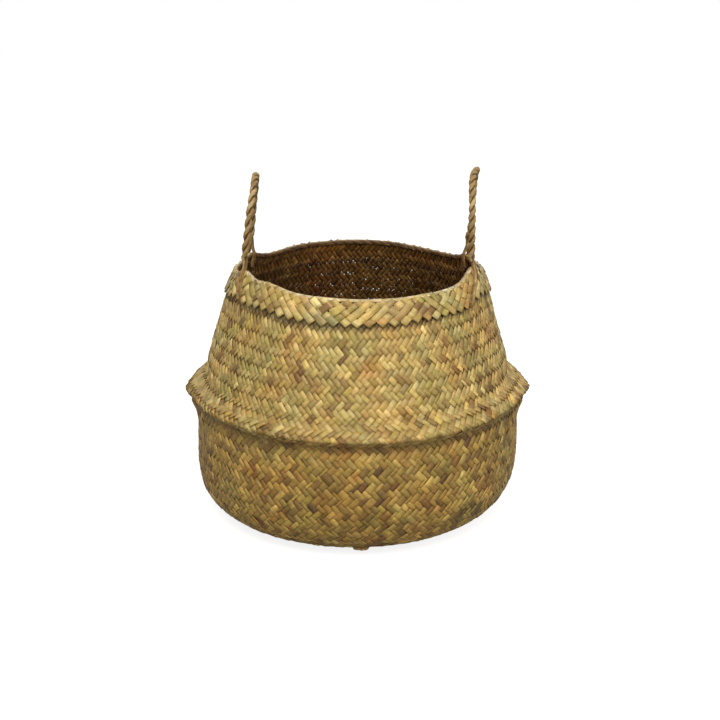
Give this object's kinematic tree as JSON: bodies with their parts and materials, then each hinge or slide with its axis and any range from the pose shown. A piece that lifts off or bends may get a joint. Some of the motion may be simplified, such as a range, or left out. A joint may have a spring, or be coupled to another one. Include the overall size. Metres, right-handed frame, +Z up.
{
  "type": "belly basket",
  "caption": "Round plaited seagrass belly basket with a wide bowl, a folded ridge, a tapering neck that folds down into the bowl, a doubled rim and two rope handles.",
  "frame": {"origin": "middle of the bottom's underside, on the floor", "axes": "+Z up through the mouth; -Y is the front, and the handles stand at -X (left) and +X (right)"},
  "size_m": [0.3474, 0.3474, 0.3479],
  "materials": {
    "plait_bowl": "plaited flat seagrass, matt, brown and olive strips",
    "plait_bottom": "plaited flat seagrass, matt, the darker underside",
    "plait_neck": "plaited flat seagrass, straw, olive and tan strips with a soft sheen",
    "plait_rim": "wider folded seagrass strips, straw-coloured",
    "grass_rope": "twisted two-ply seagrass rope, fibrous"
  },
  "bodies": {
    "basket": {"base_mat": "plait_bottom", "belly_wall": "plait_bowl", "fold_ridge": "plait_neck", "neck_wall": "plait_neck", "base_knot": "plait_bottom"},
    "rim": {"rim_band_inner": "plait_neck", "rim_band_outer": "plait_rim", "rim_edge": "plait_rim", "straddle_left_front": "grass_rope", "straddle_left_rear": "grass_rope", "straddle_right_front": "grass_rope", "straddle_right_rear": "grass_rope", "tail_knot_left_front": "grass_rope", "tail_knot_left_rear": "grass_rope", "tail_knot_right_front": "grass_rope", "tail_knot_right_rear": "grass_rope"},
    "left_handle": {"handle_left": "grass_rope"},
    "right_handle": {"handle_right": "grass_rope"}
  },
  "joints": [
    {"name": "belly_fold", "type": "slide", "parent": "basket", "child": "rim", "axis": [0, 0, -1], "range_m": [0, 0.198], "deforming": ["neck_wall"]},
    {"name": "left_handle_swing", "type": "hinge", "parent": "rim", "child": "left_handle", "pos_m": [-0.11066, 0, 0.264], "axis": [0, 1, 0], "range_deg": [-31, 107]},
    {"name": "right_handle_swing", "type": "hinge", "parent": "rim", "child": "right_handle", "pos_m": [0.11066, 0, 0.264], "axis": [0, -1, 0], "range_deg": [-24, 114]}
  ]
}
